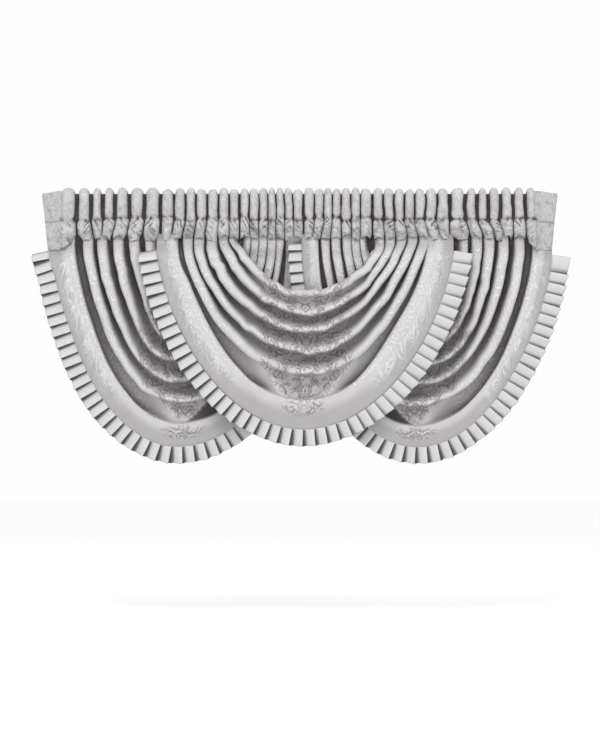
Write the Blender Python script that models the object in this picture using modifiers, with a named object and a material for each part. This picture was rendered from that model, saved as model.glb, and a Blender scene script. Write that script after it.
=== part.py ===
"""Waterfall valance: three open-throat swags whose rod pockets are interleaved on one rod.

Each swag hangs in U-shaped folds from two gathered headers, one at each side of its throat, and
ends in a smooth band with a pleated trim. Every piece of cloth is an open surface with a thickness.
Metres: +X to the viewer's right, -Y to the front, +Z up. The origin is the middle of the top edge.
"""

import math
from collections import namedtuple

import bpy

# Driving sizes
CLOTH = 0.0015  # thickness of every cloth
SEAM_GAP = 0.0005  # between a swag and its trim
HEADER_GAP = 0.0009  # between a header and the swag below it
YOKE_BOTTOM = -0.126  # lower edge of the gathered headers
RETURN_BOTTOM = -0.147  # lower edge of their flat outer ends
RETURN_START = 0.520  # distance from the middle at which the lower edge starts to drop
RETURN_BLEND = 0.040  # width over which it drops
RETURN_LEAN = 0.016  # how far the free side edge comes in at the bottom
RETURN_TOP = -0.0065  # how far the top edge drops at the free side edge
RETURN_SWEEP = 4  # the free side edge drops this much faster towards the bottom, as a power
RETURN_WAVE = 0.45  # how far forward the flat end stands, 0 in a valley, 1 on a ridge
SHOULDER_AT = 0.62  # where a gathered ridge turns from its front to its side, of its half width
SHOULDER_WAVE = 0.74  # how far forward that is
RAMP = 0.044  # drop over which a swag leaves the depth of its header
DEPTH_SWEEP = 1.5  # how late the depth of its middle turns to the depth of its sides, as a power
TRIM_WIDTH = 0.044
PLEATS = 48  # in the whole outer edge, of which the trim leaves out one at each end
SEAM_STEPS = 720  # in which the length of the seam is measured
PLEAT_CREASE = 0.8  # where in a pleat its front edge lies
PLEAT_RISE_SEAM = 0.0015  # how far a pleat's front edge stands proud, at the seam
PLEAT_RISE_HEM = 0.0070  # and at the outer edge
CENTRE_LEAN = 0.15  # how far the folds hang over their undersides at the lowest point

# The loop of cloth round the rod, from the yoke's lower edge over the top to the stitch line behind
Ring = namedtuple("Ring", "ridge_y ridge_z valley_y valley_z")
RINGS = (
    Ring(-0.026, YOKE_BOTTOM, -0.0100, YOKE_BOTTOM),
    Ring(-0.029, -0.100, -0.0110, -0.100),
    Ring(-0.021, -0.0740, -0.0110, -0.074),
    Ring(-0.026, -0.0420, -0.0095, -0.040),
    Ring(-0.022, -0.0080, -0.0095, -0.018),
    Ring(-0.004, -0.00075, 0.0000, -0.0135),
    Ring(0.014, -0.0090, 0.0095, -0.018),
    Ring(0.017, -0.0560, 0.0090, -0.058),
    Ring(-0.0096, -0.0725, -0.0096, -0.0725),
)

# Gathered headers: their ends, the centre line of each ridge, and the flat part at a free end
Header = namedtuple("Header", "name left right flat_left flat_right ridges")
HEADERS = (
    Header("left_header_outer", -0.606, -0.338, 0.045, 0.0,
           (-0.542, -0.506, -0.476, -0.448, -0.416, -0.382, -0.348)),
    Header("centre_header_left", -0.325, -0.1425, 0.0, 0.0,
           (-0.308, -0.282, -0.255, -0.232, -0.204, -0.178, -0.153)),
    Header("left_header_inner", -0.1406, 0.0070, 0.0, 0.0,
           (-0.131, -0.107, -0.086, -0.066, -0.047, -0.027, -0.005)),
    Header("right_header_inner", 0.0089, 0.1680, 0.0, 0.0,
           (0.022, 0.046, 0.066, 0.086, 0.109, 0.130, 0.153)),
    Header("centre_header_right", 0.1699, 0.349, 0.0, 0.0,
           (0.182, 0.209, 0.231, 0.256, 0.280, 0.307, 0.334)),
    Header("right_header_outer", 0.357, 0.605, 0.0, 0.052,
           (0.372, 0.402, 0.428, 0.453, 0.485, 0.513, 0.541)),
)

# Lines of a swag, from the throat to the seam of the trim: where they leave the header at each side,
# and their lowest point. The folds are numbered from the throat; the band starts after the fifth.
Line = namedtuple("Line", "left_x low_x right_x low_z")

# Depth of a swag at its left side, its middle and its right side, once it has left the headers
Depth = namedtuple("Depth", "left middle right")

# How much wider the folds are than the gaps between them, at each side of a swag
Swell = namedtuple("Swell", "left right")

# The lines of a swag follow an oval: a roundness of 2 is an ellipse, and less runs more like a V
Swag = namedtuple("Swag", "name fold_round band_round swell fronts backs band lines")
SWAGS = (
    Swag("left", 1.72, 1.43, Swell(0.8, 0.4),
         Depth(-0.038, -0.032, -0.014), Depth(-0.006, -0.006, 0.008), Depth(-0.036, -0.030, 0.012),
         (
             Line(-0.350, -0.300, -0.124, -0.306),
             Line(-0.388, -0.302, -0.106, -0.353),
             Line(-0.425, -0.304, -0.087, -0.401),
             Line(-0.463, -0.292, -0.066, -0.450),
             Line(-0.496, -0.278, -0.046, -0.500),
             Line(-0.540, -0.284, -0.028, -0.552),
             Line(-0.589, -0.287, 0.006, -0.603),
         )),
    Swag("centre", 1.26, 1.57, Swell(0.8, 0.8),
         Depth(-0.064, -0.066, -0.064), Depth(-0.034, -0.036, -0.034), Depth(-0.060, -0.058, -0.060),
         (
             Line(-0.156, 0.012, 0.186, -0.250),
             Line(-0.178, 0.014, 0.211, -0.294),
             Line(-0.206, 0.014, 0.238, -0.336),
             Line(-0.236, 0.016, 0.263, -0.386),
             Line(-0.262, 0.018, 0.291, -0.434),
             Line(-0.292, 0.010, 0.318, -0.496),
             Line(-0.335, 0.008, 0.359, -0.567),
         )),
    Swag("right", 1.72, 1.43, Swell(0.4, 0.8),
         Depth(-0.022, -0.032, -0.038), Depth(-0.006, -0.006, -0.006), Depth(-0.022, -0.030, -0.036),
         (
             Line(0.149, 0.318, 0.381, -0.312),
             Line(0.131, 0.318, 0.414, -0.360),
             Line(0.110, 0.314, 0.443, -0.408),
             Line(0.084, 0.292, 0.476, -0.454),
             Line(0.059, 0.270, 0.514, -0.507),
             Line(0.036, 0.276, 0.560, -0.556),
             Line(0.010, 0.280, 0.590, -0.603),
         )),
)
LAST_FOLD = 4  # the fifth fold; half a step on lies the valley before the band
STEPS = 6  # across one fold
THROAT_TUCK_SIDE = 0.40  # how far the throat's edge is tucked behind the first fold, in folds
THROAT_TUCK_LOW = 0.14
BAND_STEPS = (5.2, 5.6, 6.0)


def smooth(value):
    """0 to 1, easing in and out."""
    value = min(max(value, 0.0), 1.0)
    return value * value * (3 - 2 * value)


def mix(low, high, share):
    return low + (high - low) * share


def header_bottom(x):
    """Height of the headers' lower edge, which drops at the flat outer ends."""
    return mix(YOKE_BOTTOM, RETURN_BOTTOM, smooth((abs(x) - RETURN_START) / RETURN_BLEND))


def header_columns(header):
    """(x, wave) along a header: the wave is 0 in a valley and 1 on a ridge."""
    start, end = header.left + header.flat_left, header.right - header.flat_right
    valleys = [start] + [(a + b) / 2 for a, b in zip(header.ridges, header.ridges[1:])] + [end]
    columns = [(header.left, RETURN_WAVE), (start, RETURN_WAVE)] if header.flat_left else [(start, 0)]
    for before, ridge, after in zip(valleys, header.ridges, valleys[1:]):
        columns.append((mix(ridge, before, SHOULDER_AT), SHOULDER_WAVE))
        columns.append((ridge, 1.0))
        columns.append((mix(ridge, after, SHOULDER_AT), SHOULDER_WAVE))
        columns.append((after, 0.0))
    if header.flat_right:
        columns[-1] = (end, RETURN_WAVE)
        columns.append((header.right, RETURN_WAVE))
    return columns


def header_point(header, x, wave, ring):
    y = mix(ring.valley_y, ring.ridge_y, wave)
    z = mix(ring.valley_z, ring.ridge_z, wave)
    outward = -1 if header.flat_left else 1
    free_edge = header.left if header.flat_left else header.right
    if (header.flat_left or header.flat_right) and x == free_edge:
        z += mix(RETURN_TOP, RETURN_BOTTOM - YOKE_BOTTOM, (z / YOKE_BOTTOM) ** RETURN_SWEEP)
        x -= outward * RETURN_LEAN * z / RETURN_BOTTOM
    elif ring is RINGS[0]:
        z = header_bottom(x)
    return x, y, z


def at_lines(lines, place, column):
    """A column of the lines at a place between them, also a little before the first."""
    values = [getattr(line, column) for line in lines]
    index = min(max(int(math.floor(place)), 0), len(values) - 2)
    return mix(values[index], values[index + 1], place - index)


def fold_wave(place):
    """1 on the front of a fold, 0 in the valley; the band stays at the front."""
    if place >= LAST_FOLD + 1:
        return 1.0
    ripple = math.cos(math.tau * place)
    return 0.5 + 0.25 * ripple * (3 - ripple * ripple)


def leaned(swag, place, angle):
    """Moves a place across the folds, so that they swell at the sides and overhang at the middle."""
    if place >= LAST_FOLD + 1:
        return place
    side, low = math.sin(angle) ** 2, math.cos(angle) ** 2
    most = swag.swell.left if angle < 0 else swag.swell.right
    swell = most * side * math.sin(math.tau * place) / math.tau
    return place + swell + CENTRE_LEAN * low * (math.cos(math.tau * place) - 1)


def depth_at(depth, angle):
    """The depth at an angle round the swag, from -90 degrees at its left side to 90 at its right."""
    side = depth.left if angle < 0 else depth.right
    return mix(depth.middle, side, math.sin(abs(angle)) ** DEPTH_SWEEP)


def swag_point(swag, place, angle):
    """A point of a swag: a place across its folds, and an angle round them."""
    across = leaned(swag, place, angle)
    low_x = at_lines(swag.lines, across, "low_x")
    side_x = at_lines(swag.lines, across, "left_x" if angle < 0 else "right_x")
    top = header_bottom(side_x) - HEADER_GAP
    roundness = mix(swag.fold_round, swag.band_round, min(max(place - LAST_FOLD, 0.0), 1.0))
    x = mix(low_x, side_x, math.sin(abs(angle)))
    share = max(math.cos(angle), 0.0) ** (2 / roundness)
    z = mix(top, at_lines(swag.lines, across, "low_z"), share)

    clear = smooth((top - z) / RAMP)
    front = mix(RINGS[0].ridge_y, depth_at(swag.fronts, angle), clear)
    back = mix(RINGS[0].valley_y, depth_at(swag.backs, angle), clear)
    band_goal = depth_at(swag.band, angle)
    band_start = min(max(RINGS[0].ridge_y, band_goal), RINGS[0].valley_y)
    band = mix(band_start, band_goal, clear)
    front = mix(front, band, smooth((place - LAST_FOLD) * 2))  # in the valley before the band
    return x, mix(back, front, fold_wave(place)), z


def pleat_angles(swag):
    """Angles at which the seam is cut into equal lengths, one for each pleat."""
    fine = [math.radians(-90 + 180 * i / SEAM_STEPS) for i in range(SEAM_STEPS + 1)]
    points = [swag_point(swag, len(swag.lines) - 1, angle) for angle in fine]
    run = [0.0]
    for a, b in zip(points, points[1:]):
        run.append(run[-1] + math.hypot(b[0] - a[0], b[2] - a[2]))
    angles, index = [fine[0]], 0
    for pleat in range(1, PLEATS):
        wanted = run[-1] * pleat / PLEATS
        while run[index + 1] < wanted:
            index += 1
        share = (wanted - run[index]) / (run[index + 1] - run[index])
        angles.append(mix(fine[index], fine[index + 1], share))
    return angles + [fine[-1]]


def knots():
    """The pleats at which the swag has a column of points: every third, and more at the headers."""
    return [0, 1] + list(range(3, PLEATS - 2, 3)) + [PLEATS - 1, PLEATS]


def swag_grid(swag):
    angles = pleat_angles(swag)
    places = [step / STEPS for step in range(1, STEPS * LAST_FOLD + STEPS + 1)]
    rows = [[], [], []]  # the throat's tucked edge, half of the tuck, and the first fold's front
    for knot in knots():
        angle = angles[knot]
        tuck = mix(THROAT_TUCK_LOW, THROAT_TUCK_SIDE, math.sin(angle) ** 2)
        for row, place in zip(rows, (-tuck, -tuck / 2, 0.0)):
            row.append(swag_point(swag, place, angle))
    for place in places + list(BAND_STEPS):
        rows.append([swag_point(swag, place, angles[knot]) for knot in knots()])
    return rows


def trim_grid(swag):
    """The seam's line and the hem's line of a pleated trim, a column at each pleat's fold and crease."""
    angles = pleat_angles(swag)
    seam = [swag_point(swag, len(swag.lines) - 1, angles[knot]) for knot in knots()]
    outward = []
    for i, point in enumerate(seam):
        turns = []
        for a, b in ((i - 1, i), (i, i + 1)):
            if 0 <= a and b < len(seam):
                dx, dz = seam[b][0] - seam[a][0], seam[b][2] - seam[a][2]
                long = math.hypot(dx, dz)
                turns.append((dz / long, -dx / long))
        nx, nz = (sum(turn[k] for turn in turns) / len(turns) for k in (0, 1))
        size = nx * nx + nz * nz
        outward.append((nx / size, nz / size))
    marks = knots()

    def at(place):
        """The seam and its outward direction at a place counted in pleats."""
        i = max(k for k in range(len(marks) - 1) if marks[k] <= place)
        share = (place - marks[i]) / (marks[i + 1] - marks[i])
        point = [mix(a, b, share) for a, b in zip(seam[i], seam[i + 1])]
        way = [mix(a, b, share) for a, b in zip(outward[i], outward[i + 1])]
        return point, way

    rows = [[], []]
    for pleat in range(1, PLEATS - 1):
        for part, proud in ((0.0, 0.0), (PLEAT_CREASE, 1.0)):
            point, way = at(pleat + part)
            for row, reach, rise in zip(
                rows, (SEAM_GAP, TRIM_WIDTH), (PLEAT_RISE_SEAM, PLEAT_RISE_HEM)
            ):
                x, z = point[0] + way[0] * reach, point[2] + way[1] * reach
                row.append((x, point[1] - proud * rise, z))
    return rows


def cloth(name, rows, material):
    """An object of one open surface through rows of points, made into cloth by its thickness."""
    wide = len(rows[0])
    faces = [
        (r * wide + c, r * wide + c + 1, (r + 1) * wide + c + 1, (r + 1) * wide + c)
        for r in range(len(rows) - 1)
        for c in range(wide - 1)
    ]
    mesh = bpy.data.meshes.new(name)
    mesh.from_pydata([point for row in rows for point in row], [], faces)
    mesh.shade_smooth()
    mesh.materials.append(material)
    obj = bpy.data.objects.new(name, mesh)
    parts.objects.link(obj)
    thickness = obj.modifiers.new("thickness", "SOLIDIFY")
    thickness.thickness = CLOTH
    thickness.offset = 0
    return obj


def fabric(name, colour, roughness):
    material = bpy.data.materials.new(name)
    material.use_nodes = True
    surface = material.node_tree.nodes["Principled BSDF"]
    surface.inputs["Base Color"].default_value = (*colour, 1)
    surface.inputs["Roughness"].default_value = roughness
    surface.inputs["Metallic"].default_value = 0
    return material


for old in list(bpy.data.objects):
    bpy.data.objects.remove(old)
parts = bpy.data.collections.new("waterfall_valance")
bpy.context.scene.collection.children.link(parts)

header_cloth = fabric("header_jacquard", (0.56, 0.55, 0.56), 0.6)
swag_cloth = fabric("swag_jacquard", (0.60, 0.59, 0.60), 0.55)
trim_cloth = fabric("trim_satin", (0.66, 0.65, 0.67), 0.4)

for header in HEADERS:
    grid = [
        [header_point(header, x, wave, ring) for x, wave in header_columns(header)]
        for ring in RINGS
    ]
    cloth(header.name, grid, header_cloth)
for swag in SWAGS:
    cloth(swag.name + "_swag", swag_grid(swag), swag_cloth)
    cloth(swag.name + "_trim", trim_grid(swag), trim_cloth)
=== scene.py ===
import bisect
import math
import random
from collections import namedtuple

import bpy
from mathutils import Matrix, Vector, noise


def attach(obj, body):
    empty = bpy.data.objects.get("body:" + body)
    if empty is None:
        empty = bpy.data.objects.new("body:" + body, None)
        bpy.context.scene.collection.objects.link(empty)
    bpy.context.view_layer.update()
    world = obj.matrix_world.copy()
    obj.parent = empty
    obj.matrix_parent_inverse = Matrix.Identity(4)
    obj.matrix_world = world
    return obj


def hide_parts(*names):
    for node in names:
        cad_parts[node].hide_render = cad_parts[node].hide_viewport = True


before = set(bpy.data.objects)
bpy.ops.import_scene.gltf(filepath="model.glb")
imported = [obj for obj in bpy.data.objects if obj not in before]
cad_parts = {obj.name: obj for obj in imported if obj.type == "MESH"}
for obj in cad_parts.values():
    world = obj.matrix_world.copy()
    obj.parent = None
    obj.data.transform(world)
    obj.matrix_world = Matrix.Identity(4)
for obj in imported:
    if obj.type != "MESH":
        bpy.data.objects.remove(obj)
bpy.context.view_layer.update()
print("frame loaded:", len(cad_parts), "nodes")

clothThickness = 0.0012


def smooth(value):
    value = min(max(value, 0.0), 1.0)
    return value * value * (3 - 2 * value)


def mix(low, high, share):
    return low + (high - low) * share


def bell(value):
    return math.exp(-value ** 2)


def throughPoints(points, place):
    # a smooth curve through rows of numbers, by their index
    last = len(points) - 1
    index = min(max(int(math.floor(place)), 0), last - 1)
    share = place - index
    before, start, end, after = (points[min(max(index + k, 0), last)] for k in (-1, 0, 1, 2))
    found = []
    for a, b, c, d in zip(before, start, end, after):
        bend = (2 * a - 5 * b + 4 * c - d) * share + (3 * b - a - 3 * c + d) * share * share
        found.append(b + 0.5 * share * ((c - a) + bend))
    return found


def kinks(seed, spacing, size, reach=1.6):
    # offsets at uneven distances, joined by nearly straight runs, as in handled cloth
    draw = random.Random(seed)
    marks, offsets = [-reach], [0.0]
    while marks[-1] < reach:
        marks.append(marks[-1] + spacing * draw.uniform(0.55, 1.5))
        offsets.append(draw.uniform(-size, size))

    def at(distance):
        index = min(max(bisect.bisect_right(marks, distance) - 1, 0), len(marks) - 2)
        share = (distance - marks[index]) / (marks[index + 1] - marks[index])
        share = min(max(share, 0.0), 1.0)
        return mix(offsets[index], offsets[index + 1], mix(share, smooth(share), 0.5))

    return at


def ripple(x, y, z, scale, size):
    return size * noise.noise((x / scale, y / scale, z / scale))


def clothPiece(name, rows, places, shades, zones, material, thickness=clothThickness):
    # one open surface through rows of points, with its place on the flat cloth kept for the weave
    wide = len(rows[0])
    faces = [
        (r * wide + c, r * wide + c + 1, (r + 1) * wide + c + 1, (r + 1) * wide + c)
        for r in range(len(rows) - 1)
        for c in range(wide - 1)
    ]
    mesh = bpy.data.meshes.new(name)
    mesh.from_pydata([point for row in rows for point in row], [], faces)
    for label, kind, values in (
        ("clothPlace", "FLOAT_VECTOR", places),
        ("zones", "FLOAT_VECTOR", zones),
        ("shade", "FLOAT", shades),
    ):
        layer = mesh.attributes.new(label, kind, "POINT")
        flat = [value for row in values for value in row]
        if kind == "FLOAT_VECTOR":
            layer.data.foreach_set("vector", [number for value in flat for number in value])
        else:
            layer.data.foreach_set("value", flat)
    mesh.shade_smooth()
    mesh.materials.append(material)
    piece = bpy.data.objects.new(name, mesh)
    bpy.context.scene.collection.objects.link(piece)
    body = piece.modifiers.new("thickness", "SOLIDIFY")
    body.thickness = thickness
    body.offset = 0
    return piece


def runsAlong(rows):
    # the distance of every point from the first one in its row, and in its column
    across, down = [], []
    for r, row in enumerate(rows):
        run = [0.0]
        for a, b in zip(row, row[1:]):
            run.append(run[-1] + math.dist(a, b))
        across.append(run)
        if r == 0:
            down.append([0.0] * len(row))
        else:
            down.append([d + math.dist(a, b) for d, a, b in zip(down[-1], rows[r - 1], row)])
    return across, down


def feed(tree, socket, value):
    if isinstance(value, bpy.types.NodeSocket):
        tree.links.new(value, socket)
    else:
        socket.default_value = value


def addNode(tree, kind, inputs=None, **settings):
    node = tree.nodes.new("ShaderNode" + kind)
    for label, value in settings.items():
        setattr(node, label, value)
    for label, value in (inputs or {}).items():
        feed(tree, node.inputs[label], value)
    return node


def calc(tree, operation, *values, clamp=False):
    inputs = dict(enumerate(values))
    return addNode(tree, "Math", inputs, operation=operation, use_clamp=clamp).outputs[0]


def vectorCalc(tree, operation, *values, scale=None):
    inputs = dict(enumerate(values))
    if scale is not None:
        inputs["Scale"] = scale
    node = addNode(tree, "VectorMath", inputs, operation=operation)
    return node.outputs["Value" if operation == "LENGTH" else "Vector"]


def ramp(tree, value, low, high, start=0.0, end=1.0):
    inputs = {"Value": value, "From Min": low, "From Max": high, "To Min": start, "To Max": end}
    return addNode(tree, "MapRange", inputs, interpolation_type="SMOOTHSTEP").outputs["Result"]


def blendColours(tree, share, first, second, mode="MIX"):
    inputs = {0: share, 6: first, 7: second}
    return addNode(tree, "Mix", inputs, data_type="RGBA", blend_type=mode).outputs[2]


def grain(tree, place, scale, detail=2.0, stretch=None):
    if stretch:
        place = vectorCalc(tree, "MULTIPLY", place, stretch)
    return addNode(tree, "TexNoise", {"Scale": scale, "Detail": detail, "Vector": place}).outputs[0]


def scatter(tree, place, cell, loose):
    # scattered centres: how far the nearest one is, the direction from it as a part of a full turn,
    # and two chances of its own
    inputs = {"Scale": 1 / cell, "Randomness": loose, "Vector": place}
    cells = addNode(tree, "TexVoronoi", inputs, voronoi_dimensions="2D")
    local = vectorCalc(tree, "SUBTRACT", place, cells.outputs["Position"])
    parts = addNode(tree, "SeparateXYZ", {0: local}).outputs
    flat = addNode(tree, "CombineXYZ", {0: parts[0], 1: parts[1]}).outputs[0]
    far = vectorCalc(tree, "LENGTH", flat)
    turn = calc(tree, "DIVIDE", calc(tree, "ARCTAN2", parts[1], parts[0]), math.tau)
    chances = addNode(tree, "SeparateColor", {0: cells.outputs["Color"]}).outputs
    return far, turn, chances[0], chances[1]


def scrolls(tree, place, cell, spacing, width, edge, shift):
    # curls that wind round scattered centres, left or right handed
    moved = vectorCalc(tree, "ADD", place, (shift, shift * 0.7, 0.0))
    bend = addNode(tree, "TexNoise", {"Scale": 1 / (cell * 1.4), "Detail": 1.0, "Vector": moved})
    sway = vectorCalc(tree, "SUBTRACT", bend.outputs["Color"], (0.5, 0.5, 0.5))
    sway = vectorCalc(tree, "SCALE", sway, scale=cell * 0.7)
    moved = vectorCalc(tree, "ADD", moved, sway)
    far, turn, handChance, phaseChance = scatter(tree, moved, cell, 0.8)
    hand = calc(tree, "MULTIPLY", calc(tree, "GREATER_THAN", handChance, 0.5), 2.0)
    hand = calc(tree, "SUBTRACT", hand, 1.0)
    phase = calc(tree, "MULTIPLY_ADD", turn, hand, calc(tree, "DIVIDE", far, spacing))
    phase = calc(tree, "ADD", phase, phaseChance)
    return ramp(tree, calc(tree, "PINGPONG", phase, 0.5), width, width + edge, 1.0, 0.0)


def sprays(tree, place, cell, petals, shift):
    # feathery leaves that fan out from scattered roots
    moved = vectorCalc(tree, "ADD", place, (shift, shift * 0.7, 0.0))
    far, turn, turnChance, swirlChance = scatter(tree, moved, cell, 0.75)
    far = calc(tree, "DIVIDE", far, cell)
    swirl = calc(tree, "MULTIPLY", calc(tree, "SUBTRACT", swirlChance, 0.5), 1.7)
    turn = calc(tree, "MULTIPLY_ADD", far, swirl, calc(tree, "ADD", turn, turnChance))
    petal = calc(tree, "PINGPONG", calc(tree, "MULTIPLY", turn, petals), 0.5)
    wide = calc(tree, "SUBTRACT", 1.0, calc(tree, "DIVIDE", far, 0.62), clamp=True)
    wide = calc(tree, "MULTIPLY", calc(tree, "POWER", wide, 0.5), 0.40)
    leaf = ramp(tree, calc(tree, "SUBTRACT", petal, wide), -0.05, 0.05, 1.0, 0.0)
    fan = ramp(tree, calc(tree, "PINGPONG", turn, 0.5), 0.30, 0.34, 1.0, 0.0)
    veins = calc(tree, "PINGPONG", calc(tree, "MULTIPLY", turn, petals * 4.0), 0.5)
    veins = ramp(tree, veins, 0.10, 0.40, 0.45, 1.0)
    leaf = calc(tree, "MULTIPLY", leaf, fan)
    veins = calc(tree, "MULTIPLY", veins, ramp(tree, far, 0.05, 0.14))
    return calc(tree, "MULTIPLY", leaf, veins)


def bareCloth(name):
    # a new material with its place on the flat cloth, and the painted shade of its folds
    material = bpy.data.materials.new(name)
    material.use_nodes = True
    tree = material.node_tree
    flat = addNode(tree, "Attribute", attribute_name="clothPlace").outputs["Vector"]
    shade = addNode(tree, "Attribute", attribute_name="shade").outputs["Fac"]
    return material, tree, flat, shade


def ribs(tree, flat, look, relief):
    # the fine ribs of the weave, on top of its other relief
    way = vectorCalc(tree, "MULTIPLY", flat, look["ribWay"])
    inputs = {"Scale": look["ribScale"], "Distortion": look["ribWander"], "Vector": way}
    return calc(tree, "MULTIPLY_ADD", addNode(tree, "TexWave", inputs).outputs["Fac"], 0.10, relief)


def paintShadeAndFinish(tree, look, colour, shade, roughness, relief):
    # painted shade: the base colour is darkened and warmed towards a dark colour where the shade
    # attribute is high
    deep = calc(tree, "POWER", calc(tree, "SUBTRACT", 1.0, shade, clamp=True), 1.5)
    tone = blendColours(tree, deep, look["valley"], (1.0, 1.0, 1.0, 1.0))
    bump = {"Strength": look["bump"], "Distance": look["bumpHeight"], "Height": relief}
    for label, value in (
        ("Base Color", blendColours(tree, 1.0, colour, tone, "MULTIPLY")),
        ("Roughness", roughness),
        ("Sheen Weight", look["sheen"]),
        ("Sheen Roughness", look["sheenRoughness"]),
        ("Specular IOR Level", look["specular"]),
        ("Normal", addNode(tree, "Bump", bump).outputs[0]),
    ):
        feed(tree, tree.nodes["Principled BSDF"].inputs[label], value)


def jacquard(name, look):
    material, tree, flat, shade = bareCloth(name)
    zones = addNode(tree, "Attribute", attribute_name="zones").outputs["Vector"]
    medallion, plain, leaf = addNode(tree, "SeparateXYZ", {0: zones}).outputs

    curlSize, curlSpacing, leafSize = look["curlSize"], look["curlSpacing"], look["leafSize"]
    curls = scrolls(tree, flat, curlSize, curlSpacing, 0.10, 0.14, 0.0)
    outline = scrolls(tree, flat, curlSize, curlSpacing, 0.21, 0.12, 0.0)
    halo = calc(tree, "SUBTRACT", outline, curls, clamp=True)
    leaves = calc(tree, "MAXIMUM", sprays(tree, flat, leafSize, 7.0, 3.1),
                  sprays(tree, flat, leafSize * 0.55, 7.0, 6.4))
    leaves = calc(tree, "MULTIPLY", leaves, ramp(tree, grain(tree, flat, 16.0), 0.24, 0.42))
    # the medallion mirrors about the middle of the cloth
    across, down, _ = addNode(tree, "SeparateXYZ", {0: flat}).outputs
    folded = {0: calc(tree, "ABSOLUTE", across), 1: down}
    folded = addNode(tree, "CombineXYZ", folded).outputs[0]
    lace = calc(tree, "MAXIMUM", scrolls(tree, folded, 0.028, 0.0105, 0.12, 0.14, 1.7),
                sprays(tree, folded, 0.040, 7.0, 2.3))
    lace = calc(tree, "MULTIPLY", lace, ramp(tree, grain(tree, folded, 42.0, 3.0), 0.34, 0.54))
    petals = sprays(tree, folded, 0.052, 9.0, 5.3)

    scrollShare = calc(tree, "MULTIPLY", calc(tree, "SUBTRACT", 1.0, plain, clamp=True),
                       calc(tree, "SUBTRACT", 1.0, medallion, clamp=True))
    lines = calc(tree, "MULTIPLY", curls, scrollShare)
    edges = calc(tree, "MULTIPLY", halo, scrollShare)
    bright = calc(tree, "MULTIPLY", leaves, leaf)
    dark = calc(tree, "MULTIPLY", lace, medallion)
    light = calc(tree, "MULTIPLY", petals, medallion)

    colour = blendColours(tree, grain(tree, flat, 9.0, 3.0), look["ground"], look["groundPale"])
    lineStrength = calc(tree, "MULTIPLY_ADD", shade, 0.4, look["lineStrength"], clamp=True)
    for share, strength, thread in (
        (edges, look["edgeStrength"], "edge"),
        (lines, lineStrength, "line"),
        (bright, 1.0, "leaf"),
        (light, 0.30, "leaf"),
        (dark, 0.74, "lace"),
    ):
        share = calc(tree, "MULTIPLY", share, strength)
        colour = blendColours(tree, share, colour, look[thread])

    shiny = calc(tree, "MAXIMUM", lines, bright)
    roughness = calc(tree, "MULTIPLY_ADD", shiny, -0.16, look["roughness"])
    raised = calc(tree, "MAXIMUM", lines, calc(tree, "MAXIMUM", bright, dark))
    creases = grain(tree, flat, 38.0, 3.0, (1.0, 0.35, 1.0))
    relief = calc(tree, "MULTIPLY_ADD", creases, 1.2, ribs(tree, flat, look, raised))
    paintShadeAndFinish(tree, look, colour, shade, roughness, relief)
    return material


def satin(name, look):
    material, tree, flat, shade = bareCloth(name)
    uneven = grain(tree, flat, 14.0, 3.0)
    colour = blendColours(tree, uneven, look["ground"], look["groundPale"])
    roughness = calc(tree, "MULTIPLY_ADD", uneven, 0.12, look["roughness"])
    relief = ribs(tree, flat, look, grain(tree, flat, 60.0, 2.0, (1.0, 0.3, 1.0)))
    paintShadeAndFinish(tree, look, colour, shade, roughness, relief)
    return material


jacquardLook = {
    "ground": (0.53, 0.516, 0.516, 1.0),
    "groundPale": (0.66, 0.648, 0.650, 1.0),
    "line": (0.84, 0.83, 0.84, 1.0),
    "edge": (0.42, 0.405, 0.405, 1.0),
    "leaf": (0.95, 0.95, 0.98, 1.0),
    "lace": (0.20, 0.18, 0.175, 1.0),
    # painted shade: the dark warm colour that the folds' shade darkens the cloth towards
    "valley": (0.085, 0.070, 0.064, 1.0),
    "lineStrength": 0.50,
    "edgeStrength": 0.55,
    "roughness": 0.60,
    "sheen": 0.25,
    "sheenRoughness": 0.4,
    "specular": 0.32,
    "bump": 0.55,
    "bumpHeight": 0.0014,
    "ribScale": 330.0,
    "ribWander": 0.6,
    "ribWay": (1.0, 0.55, 0.0),
    "curlSize": 0.036,
    "curlSpacing": 0.0110,
    "leafSize": 0.058,
}
headerLook = dict(jacquardLook)  # the same cloth, gathered: its figure is closer and fainter
headerLook.update({
    # painted shade: its ground is darker and more mottled than the swag's, standing in for shade
    # among the gathers
    "ground": (0.36, 0.349, 0.349, 1.0),
    "groundPale": (0.62, 0.608, 0.610, 1.0),
    "lineStrength": 0.20,
    "edgeStrength": 0.24,
    "curlSize": 0.026,
    "curlSpacing": 0.0086,
})
trimLook = {
    "ground": (0.56, 0.55, 0.55, 1.0),
    "groundPale": (0.67, 0.66, 0.66, 1.0),
    # painted shade: the dark colour that the pleats' shade darkens the satin towards
    "valley": (0.07, 0.06, 0.055, 1.0),
    "roughness": 0.36,
    "sheen": 0.15,
    "sheenRoughness": 0.5,
    "specular": 0.5,
    "bump": 0.35,
    "bumpHeight": 0.0012,
    "ribScale": 420.0,
    "ribWander": 0.8,
    "ribWay": (0.2, 1.0, 0.0),
}
swagCloth = jacquard("swagJacquard", jacquardLook)
headerCloth = jacquard("headerJacquard", headerLook)
trimCloth = satin("trimSatin", trimLook)
print("fabrics made")


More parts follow.
